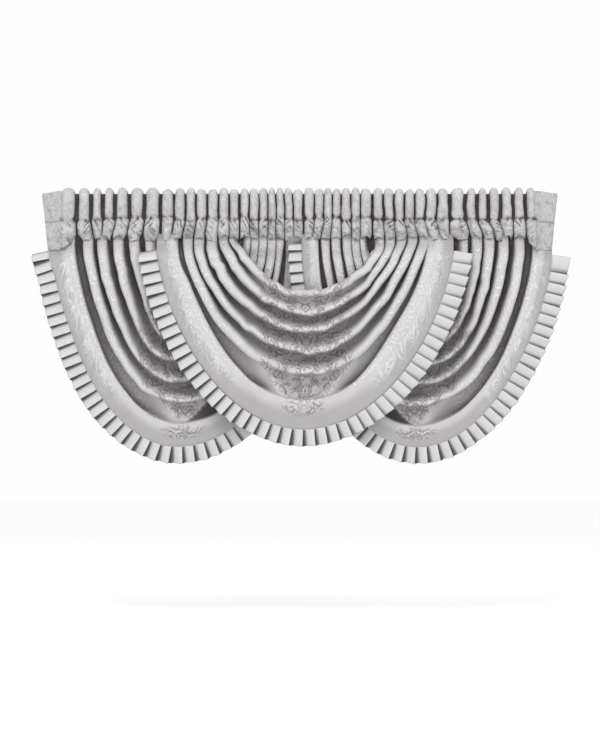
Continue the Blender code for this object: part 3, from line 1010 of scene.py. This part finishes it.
def swagShade(cut, fold, part, u, pointEdge, wave, side, clear):
    # painted shade, 0 on the crests and up to 1 in the valleys; on the band a painted highlight
    # along its inner part and painted shade towards its outer edge; more painted shade near the
    # headers
    cover = 1 - smooth(wave * 1.05)
    if fold > swag["lastFold"]:
        share = smooth((part - 0.10) / 0.45)
        shade = mix(swag["bandShade"] - 0.14, swag["bandShade"] + 0.07, share)
        return shade * mix(1.15, 1.0, clear)
    if fold == swag["lastFold"]:
        shade = lastFoldShade(cut, part, u, pointEdge, cover, side)
    elif fold < 0:
        shade = cover * 0.8
    else:
        # painted shade under a fold
        near = 1 - smooth((part - 0.30) / 0.58)  # dark under a fold, paler towards the next
        middle = swag["middleShade"] * smooth((part - 0.02) / 0.12)
        middle *= 1 - smooth((part - 0.72) / 0.28)
        middle *= 0.30 if fold == 0 else 1.0
        share = smooth((side - 0.20) * 1.3) if fold == 0 else smooth(side * 1.15)
        shade = mix(middle, cover * mix(0.72, 1.0, near), share)
    return shade * mix(1.15, 1.0, clear) + 0.16 * (1 - clear)


def swagFigure(cut, fold, part, u, v, pointEdge):
    # how much there is of the figured middle, of plain cloth and of bright leaves
    if fold > swag["lastFold"]:
        middle, height = swagLooks[cut.name]["ornament"]
        figure = 1 - smooth((math.hypot(u / 0.052, (part - middle) / height) - 0.75) / 0.4)
        figure *= 0.9
        plain = 1 - 0.45 * smooth((abs(u) - 0.17) / 0.12)
        plain = max(plain, smooth((part - 0.86) / 0.05))
        leaves = smooth((abs(u) - 0.14) / 0.10) * (1 - smooth((abs(u) - 0.52) / 0.10))
        return figure, plain * (1 - figure), leaves * bell((part - 0.40) / 0.26)
    if fold == swag["lastFold"]:
        halfWidth, soft, strip = pointEdge + 0.008, 0.014, swag["plainStrip"] * 0.6
        beyond = abs(u) - halfWidth
    else:
        halfWidth, soft, strip = swag["medallion"], 0.034, swag["plainStrip"]
        beyond = abs(u) - halfWidth
        beyond += 0.018 + 0.030 * noise.noise((u / 0.022, v / 0.016, 4.0))
    figure = 1 - smooth((beyond + 0.012) / soft)
    plain = smooth((beyond + 0.012) / 0.014) * (1 - smooth((abs(u) - halfWidth - strip) / 0.03))
    return figure, plain, 0.0


def addTops(row):
    # the tops go on behind the yoke, to where they are sewn
    for end in (0, -1):
        (x, y, z), wave, side, clear = row[end]
        sewn = mix(mix(-0.0075, -0.0170, wave), swag["returnDepth"] + 0.002, returnShare(x))
        for lift, behind in ((0.0020, 0.35), (0.0060, 0.8), (0.0110, 1.0), (0.0175, 1.0)):
            extra = ((x, mix(y, sewn, behind), z + lift), wave, side, clear)
            row.insert(len(row) if end else 0, extra)


def makeSwag(cut):
    look = swagLooks[cut.name]
    parts = swag["pleats"] * swag["columnsPerPleat"]
    angles, _ = seamAngles(cut, parts)
    bends = swagKinks(cut)
    distances = [alongCloth(i / parts) for i in range(parts + 1)]
    tuckTop = swag["tuckTop"] * look["tuckMore"]
    rows, labels = [], []
    for tuck in (1.0, 0.8, 0.6, 0.4, 0.2):  # the edge of the throat, behind the first fold
        row = []
        for angle, distance in zip(angles, distances):
            side = math.sin(angle) ** 2
            reach = mix(swag["tuckLow"], swag["tuckSide"], side)
            reach += tuckTop * smooth((side - 0.93) / 0.06)
            row.append(swagPoint(cut, bends, 1 - tuck * reach, -1, angle, distance))
        rows.append(row)
        labels.append((-1, 1 - tuck * 0.3))
    band, bandSteps = swag["lastFold"] + 1, swag["bandSteps"]
    stations = [(fold, part) for fold in range(band) for part in foldSteps]
    stations += [(band, i / bandSteps) for i in range(bandSteps + 1)]
    for fold, part in stations:
        rows.append([swagPoint(cut, bends, part, fold, a, d) for a, d in zip(angles, distances)])
        labels.append((fold, part))
    for row in rows:
        addTops(row)
    points = [[found[0] for found in row] for row in rows]
    across, down = runsAlong(points)
    middle = parts // 2 + 3
    pointHalf, pointClosing = look["point"]
    shades, zones, places = [], [], []
    for (fold, part), row, acrossRow, downRow in zip(labels, rows, across, down):
        closing = min(max((part - 0.36) / 0.44, 0.0), 1.0)
        pointEdge = pointHalf * (1 - pointClosing * closing)
        shadeRow, zoneRow, placeRow = [], [], []
        for (_, wave, side, clear), a, v in zip(row, acrossRow, downRow):
            u = a - acrossRow[middle]
            shade = swagShade(cut, fold, part, u, pointEdge, wave, side, clear)
            shadeRow.append(min(max(shade, 0.0), 1.0))
            zoneRow.append(swagFigure(cut, fold, part, u, v, pointEdge))
            placeRow.append((u, v, 0.0))
        shades.append(shadeRow)
        zones.append(zoneRow)
        places.append(placeRow)
    piece = clothPiece(cut.name + "SwagCloth", points, places, shades, zones, swagCloth)
    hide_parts(cut.name + "_swag")
    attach(piece, "root")
    wide, long = across[-1][-1], down[-1][middle]
    print(piece.name, "ready, cut about", round(wide, 3), "by", round(long, 3))
    return piece


trim = {
    "seamGap": 0.0005,
    "width": 0.044,
    "thickness": 0.0008,
    "crease": 0.90,  # where in a pleat its front edge lies
    "riseSeam": 0.0016,
    "riseHem": 0.0062,
    "tuckBack": 0.12,  # how far the cloth goes back under a pleat's front edge
    "rowCount": 9,
    "lowShare": 0.90,  # pleats at the bottom, against the longest ones
}
trims = {
    "left": {
        "sheet": (0.046, 1.55),
        "starts": (0.12, 1.0),  # where its pleats start and end, in pleats from each end
        # painted shadow in its gaps: less of it on the right, where they face up to the light
        "soft": 0.60,  # how dark its gaps are on the right, where they face up
        "topShare": 0.92,  # pleats at its outer end turn away, so they look shorter there
        "throatShare": 0.72,
    },
    "centre": {
        "sheet": (0.046, 1.58),
        "starts": (0.9, 0.9),
        "soft": 0.42,
        "topShare": 1.0,
        "throatShare": 1.0,
    },
    "right": {
        "sheet": (0.046, 1.55),
        "starts": (0.25, 0.45),
        "soft": 0.75,
        "topShare": 0.95,
        "throatShare": 0.72,
    },
}
# across the flat front of a pleat, and how far it stands out from the cloth under it
pleatFront = (
    (0.0, 0.0), (0.02, 0.15), (0.25, 0.42), (0.5, 0.68), (0.75, 0.88), (0.93, 1.0), (1.0, 0.98))


def pleatStarts(look):
    first, last = look["starts"][0], swag["pleats"] - look["starts"][1]
    return [first] + list(range(int(first + 1.3), int(last))), last


def makeTrim(cut):
    look = trims[cut.name]
    pleats = swag["pleats"]
    angles, seamLength = seamAngles(cut, pleats)
    bends = swagKinks(cut)

    def seamAt(place):
        index = min(int(place), pleats - 1)
        angle = mix(angles[index], angles[index + 1], place - index)
        band, distance = swag["lastFold"] + 1, alongCloth(place / pleats)
        return swagPoint(cut, bends, 1.0, band, angle, distance)[0]

    def wayOut(place):
        # square to the seam, away from the cloth
        a, b = seamAt(max(place - 0.35, 0.0)), seamAt(min(place + 0.35, pleats - 1e-6))
        dx, dz = b[0] - a[0], b[2] - a[2]
        length = math.hypot(dx, dz)
        return dz / length, -dx / length

    draw = random.Random(cut.name)
    rows = [[] for _ in range(trim["rowCount"])]
    shades = [[] for _ in rows]
    fars = [r / (trim["rowCount"] - 1) for r in range(trim["rowCount"])]
    starts, lastPleat = pleatStarts(look)
    for number, pleat in enumerate(starts):
        following = starts[number + 1] if number + 1 < len(starts) else lastPleat
        wide = following - pleat
        facing = smooth((pleat / pleats - 0.45) / 0.2)  # 0 where its gaps face down
        crease = wide - (1 - trim["crease"]) * mix(1.5, 0.8, facing)
        nx, nz = wayOut(pleat + crease / 2)
        tilt = math.radians(draw.uniform(-1.6, 1.6))
        nx, nz = (nx * math.cos(tilt) - nz * math.sin(tilt),
                  nx * math.sin(tilt) + nz * math.cos(tilt))
        fromOuter = pleats - pleat if cut.name == "right" else pleat
        long = trim["width"] * draw.uniform(0.975, 1.0)
        long *= mix(look["topShare"], 1.0, smooth(fromOuter / 10))
        long *= mix(1.0, trim["lowShare"], smooth((-nz - 0.55) / 0.35))
        long *= mix(look["throatShare"], 1.0, smooth((pleats - fromOuter) / 24))
        slope = draw.uniform(0.02, 0.12)  # its hem isn't quite square
        soft = mix(1.0, look["soft"], smooth((pleat / pleats - 0.52) / 0.14))
        curl = draw.uniform(-0.0008, 0.0012)
        # the flat front of a pleat keeps its width, so its sides run parallel to its own middle
        for share, proud in pleatFront:
            base = seamAt(pleat + crease * share)
            # painted shadow where the pleat comes out from under the one before, fading across its
            # front
            shade = 0.50 * soft * (1 - smooth(share / 0.15)) + 0.14 * (1 - share)
            for r, far in enumerate(fars):
                reach = mix(trim["seamGap"], long * (1 + slope * (share - 0.5)), far)
                rise = mix(trim["riseSeam"], trim["riseHem"], far) * proud
                y = base[1] - rise - curl * math.sin(math.pi * far) * proud
                rows[r].append((base[0] + nx * reach, y, base[2] + nz * reach))
                shades[r].append(shade)
        if number + 1 == len(starts):
            continue
        # and under it, back to where the next one starts
        under = seamAt(pleat + crease - trim["tuckBack"])
        ox, oz = wayOut(following)
        for base, proud, lean, lower in (
            (under, 0.62, 0.0, 0.0),
            (under, 0.10, 0.2, 0.0004),
            (seamAt(following - 0.05), 0.0, 0.75, 0.0004),
        ):
            wx, wz = mix(nx, ox, lean), mix(nz, oz, lean)
            for r, far in enumerate(fars):
                reach = mix(trim["seamGap"], long, far)
                rise = mix(trim["riseSeam"], trim["riseHem"], far) * proud
                rows[r].append((base[0] + wx * reach, base[1] - rise + lower, base[2] + wz * reach))
                # painted shade in the tuck under the pleat
                shades[r].append(soft)
    across, down = runsAlong(rows)
    places = [[(a, d, 0.0) for a, d in zip(across[-1], downRow)] for downRow in down]
    zones = [[(0.0, 1.0, 0.0)] * len(row) for row in rows]
    piece = clothPiece(
        cut.name + "TrimRibbon", rows, places, shades, zones, trimCloth, trim["thickness"])
    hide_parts(cut.name + "_trim")
    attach(piece, "root")
    print(piece.name, "ready, its seam", round(seamLength, 3), "long")
    return piece


for strip in headers:
    makeHeader(strip)
for cut in swags:
    makeSwag(cut)
    makeTrim(cut)


studio = {
    "floorHeight": -1.0,
    "floorHalf": 14.0,
    "cameraDistance": 5.0,
    "cameraRise": -2.5,  # degrees; the valance hangs above eye level
    "lookAt": (0.0, -0.02, -0.42),
    "viewWidth": 1.40,
    "sensorWidth": 36,
    "lights": (  # name, place, width and height, power
        ("keyLight", (-0.5, -2.4, 2.6), (1.8, 0.9), 40),
        ("fillLight", (2.2, -3.0, 0.3), (1.8, 1.8), 6),
        ("rimLight", (0.5, 2.8, 1.6), (2.4, 1.2), 10),
    ),
    "lightTarget": (0.0, 0.0, -0.3),
}


def addToScene(name, data):
    thing = bpy.data.objects.new(name, data)
    bpy.context.scene.collection.objects.link(thing)
    return thing


def aimAt(thing, target):
    way = Vector(target) - thing.location
    thing.rotation_euler = way.to_track_quat("-Z", "Y").to_euler()


floorMesh = bpy.data.meshes.new("floor")
half = studio["floorHalf"]
floorCorners = [(-half, -half, 0), (half, -half, 0), (half, half, 0), (-half, half, 0)]
floorMesh.from_pydata(floorCorners, [], [(0, 1, 2, 3)])
floorPaint = bpy.data.materials.new("palePaint")
floorPaint.use_nodes = True
paint = floorPaint.node_tree.nodes["Principled BSDF"]
paint.inputs["Base Color"].default_value = (0.97, 0.97, 0.97, 1)
paint.inputs["Roughness"].default_value = 0.8
floorMesh.materials.append(floorPaint)
floor = addToScene("floor", floorMesh)
floor.location.z = studio["floorHeight"]

for name, place, size, power in studio["lights"]:
    lamp = bpy.data.lights.new(name, "AREA")
    lamp.shape = "RECTANGLE"
    lamp.size, lamp.size_y = size
    lamp.energy = power
    light = addToScene(name, lamp)
    light.location = place
    aimAt(light, studio["lightTarget"])

world = bpy.data.worlds.new("studioWorld")
bpy.context.scene.world = world
world.use_nodes = True
sky = world.node_tree.nodes["Background"]
sky.inputs["Color"].default_value = (0.99, 0.99, 0.99, 1)
sky.inputs["Strength"].default_value = 1.0

rise = math.radians(studio["cameraRise"])
target = Vector(studio["lookAt"])
camera = addToScene("camera", bpy.data.cameras.new("camera"))
camera.location = target + studio["cameraDistance"] * Vector((0, -math.cos(rise), math.sin(rise)))
aimAt(camera, target)
camera.data.sensor_fit = "HORIZONTAL"
camera.data.sensor_width = studio["sensorWidth"]
camera.data.lens = studio["cameraDistance"] * studio["sensorWidth"] / studio["viewWidth"]
bpy.context.scene.camera = camera
bpy.context.scene.view_settings.view_transform = "Standard"
print("studio ready")
